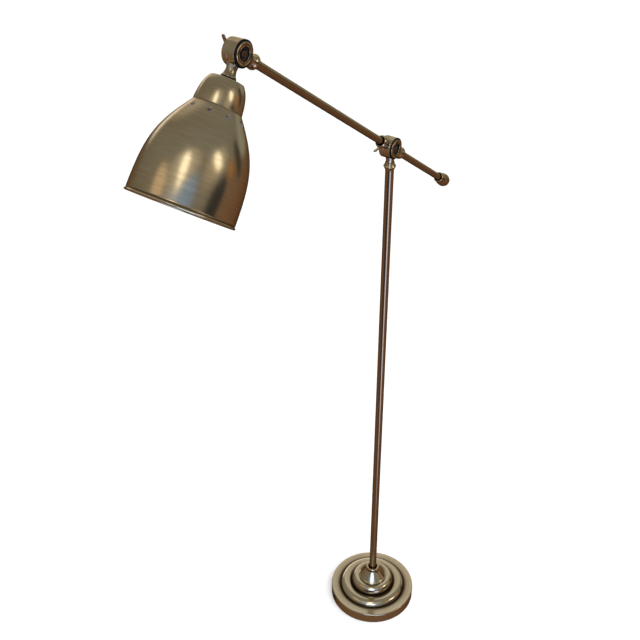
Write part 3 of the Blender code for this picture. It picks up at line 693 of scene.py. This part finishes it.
for vert in bodyPiece.data.vertices:
    r = math.hypot(vert.co.x, vert.co.y)
    if r > (wide - gap) * mm and holder["ribStart"] * mm < vert.co.z < holder["ribEnd"] * mm:
        wave = max(0.0, math.cos(holder["ribs"] * math.atan2(vert.co.y, vert.co.x)))
        vert.co.x *= 1 - holder["ribDepth"] * mm * (1 - wave) / r
        vert.co.y *= 1 - holder["ribDepth"] * mm * (1 - wave) / r

bulb = {"neck": 103.3, "radius": 30.0, "end": 192.0, "sides": 96}
middle = bulb["end"] - bulb["radius"]
glassFoot = bulb["neck"] + 0.1
glassOutline = ([(0, glassFoot)]
                + swoop((12.6, glassFoot), (13.4, 117.0), (23.5, 133.0), (27.0, middle - 13.08), 14)[:-1]
                + bow((0, middle), (bulb["radius"],) * 2, -25.84, 90, 20))
turned("bulbGlass", glassOutline, bulb["sides"], shadeFromHead, "bulb", frostedGlass,
       "bulb_glass", False)
print("holder and bulb made")

# ---- CAD nodes that stay
stays = {steel: ("base_stud", "base_nut", "base_washer", "base_spacer", "pole_lower_bush", "pole_spigot",
                 "arm_spigot_pole_end", "tail_spigot", "arm_spigot_shade_end", "shade_nipple",
                 "shade_locknut", "centre_contact", "holder_screw_shell"),
         capBrass: ("bulb_cap",), castIron: ("base_weight",),
         rubber: ("base_pad", "pole_lead", "arm_lead", "pole_joint_friction_washer",
                  "head_joint_friction_washer"),
         whitePlastic: ("holder_insulator",)}
for finish, names in stays.items():
    for name in names:
        node = frame["nodes"][name]
        for slot in node.material_slots:
            slot.material = finish

# ---- floor, light and camera
floor = {"size": 40.0, "colour": (0.80, 0.80, 0.80)}
floorMesh = bpy.data.meshes.new("floor")
far = floor["size"] / 2
floorMesh.from_pydata([(-far, -far, 0), (far, -far, 0), (far, far, 0), (-far, far, 0)], [], [(0, 1, 2, 3)])
floorPiece = bpy.data.objects.new("floor", floorMesh)
bpy.context.scene.collection.objects.link(floorPiece)
floorFinish = Finish("pale floor")
floorFinish.set(Base_Color=floor["colour"], Roughness=0.9)
floorMesh.materials.append(floorFinish.material)
floorPiece.visible_glossy = False

studio = {"softness": 0.35, "backdrop": (0.87, 0.87, 0.86),
          "heights": [(0.08, (0.25, 0.145, 0.09)), (0.28, (0.31, 0.18, 0.112)),
                      (0.46, (0.31, 0.225, 0.155)), (0.60, (0.33, 0.32, 0.275)), (1.0, (0.36, 0.35, 0.31))]}
# soft cards round the studio: azimuth and elevation in degrees, half width and half height, colour
cards = {
    "pale wall": (30, 32, 36, 30, (0.80, 0.77, 0.71)),
    "grey sill": (6, 0, 34, 12, (0.52, 0.56, 0.50)),
    "dark back": (52, -38, 30, 26, (0.07, 0.045, 0.03)),
    "dark front": (-160, -22, 30, 18, (0.05, 0.058, 0.075)),
    "low window": (-126, -26, 13, 18, (1.5, 1.75, 2.7)),
    "grey front": (-150, 30, 31, 15, (0.40, 0.62, 1.08)),
    "warm glow": (-150, 52, 26, 14, (0.68, 0.62, 0.50)),
    "warm lamp": (-152, 51, 7, 12, (3.2, 3.05, 2.65)),
    "second glow": (-80, 26, 24, 13, (0.62, 0.55, 0.44)),
    "second lamp": (-76, 27, 7, 10, (3.2, 3.0, 2.55)),
    "third lamp": (157, 39, 13, 7, (1.2, 0.98, 0.72)),
    "bright strip": (50, 8, 28, 7, (2.7, 2.85, 3.1)),
    "dark corner": (-80, -2, 18, 10, (0.035, 0.04, 0.05)),
    "orange curtain": (-54, 3, 7, 8, (0.62, 0.29, 0.09)),
    "dark post": (-33, 0, 8, 16, (0.08, 0.065, 0.05)),
}
world = bpy.data.worlds.new("studio")
bpy.context.scene.world = world
sky = Finish("studio", world)
way = sky.add("ShaderNodeTexCoord")
level = sky.add("ShaderNodeSeparateXYZ", None, {0: way}, 2) * 0.5 + 0.5
light = sky.add("ShaderNodeValToRGB", {"stops": studio["heights"]}, {0: level})
for azimuth, elevation, wide, tall, colour in cards.values():
    a, e = math.radians(azimuth), math.radians(elevation)
    ahead = Vector((math.cos(a) * math.cos(e), math.sin(a) * math.cos(e), math.sin(e)))
    right = Vector((-math.sin(a), math.cos(a), 0))
    up = ahead.cross(right)

    def along(axis):
        return sky.add("ShaderNodeVectorMath", {"operation": "DOT_PRODUCT"}, {0: way, 1: axis}, 1)

    side = along(right) * (1 / math.sin(math.radians(wide)))
    rise = along(up) * (1 / math.sin(math.radians(tall)))
    spot = sky.between(side * side + rise * rise, 1 + studio["softness"], 1 - studio["softness"])
    light = sky.blend(spot * sky.between(along(ahead), 0.0, 0.1), light, colour)
# the camera sees a plain pale wall past the floor, the plate reflects the cards
seen = sky.add("ShaderNodeLightPath")
sky.set(Color=sky.blend(seen, light, studio["backdrop"]))


def lamp(name, kind, at, aim, power, colour, **more):
    data = bpy.data.lights.new(name, kind)
    data.energy, data.color = power, colour
    for key, value in more.items():
        setattr(data, key, value)
    box = bpy.data.objects.new(name, data)
    bpy.context.scene.collection.objects.link(box)
    box.location = at
    box.rotation_euler = (Vector(aim) - Vector(at)).to_track_quat("-Z", "Y").to_euler()
    box.visible_camera = False
    return box


# the sun and the fill light the floor and the unpolished parts, and don't show in the plate
lamp("sun", "SUN", (-1.0, -1.6, 4.0), (0, 0, 0), 2.75, (1.0, 1.0, 1.0), angle=1.0).visible_glossy = False
lamp("fill", "AREA", (2.4, -1.8, 2.6), (0, 0, 0.6), 30, (0.98, 0.99, 1.0),
     size=1.8).visible_glossy = False
lamp("window", "AREA", (-2.3, -1.35, 0.95), (0, 0, 0.1), 16.0, (0.72, 1.0, 1.5), shape="RECTANGLE",
     size=1.3, size_y=1.0)

view = {"at": (-1.5737, -0.9681, 2.1758), "turn": -53.82, "tip": 56.1, "roll": -0.12, "lens": 53.44}
camera = bpy.data.objects.new("camera", bpy.data.cameras.new("camera"))
bpy.context.scene.collection.objects.link(camera)
camera.matrix_world = (Matrix.Translation(view["at"])
                       @ Matrix.Rotation(math.radians(view["turn"]), 4, "Z")
                       @ Matrix.Rotation(math.radians(view["tip"]), 4, "X")
                       @ Matrix.Rotation(math.radians(view["roll"]), 4, "Z"))
camera.data.lens = view["lens"]
camera.data.sensor_width = 36
bpy.context.scene.camera = camera
bpy.context.scene.view_settings.view_transform = "Standard"
print("light and camera set")
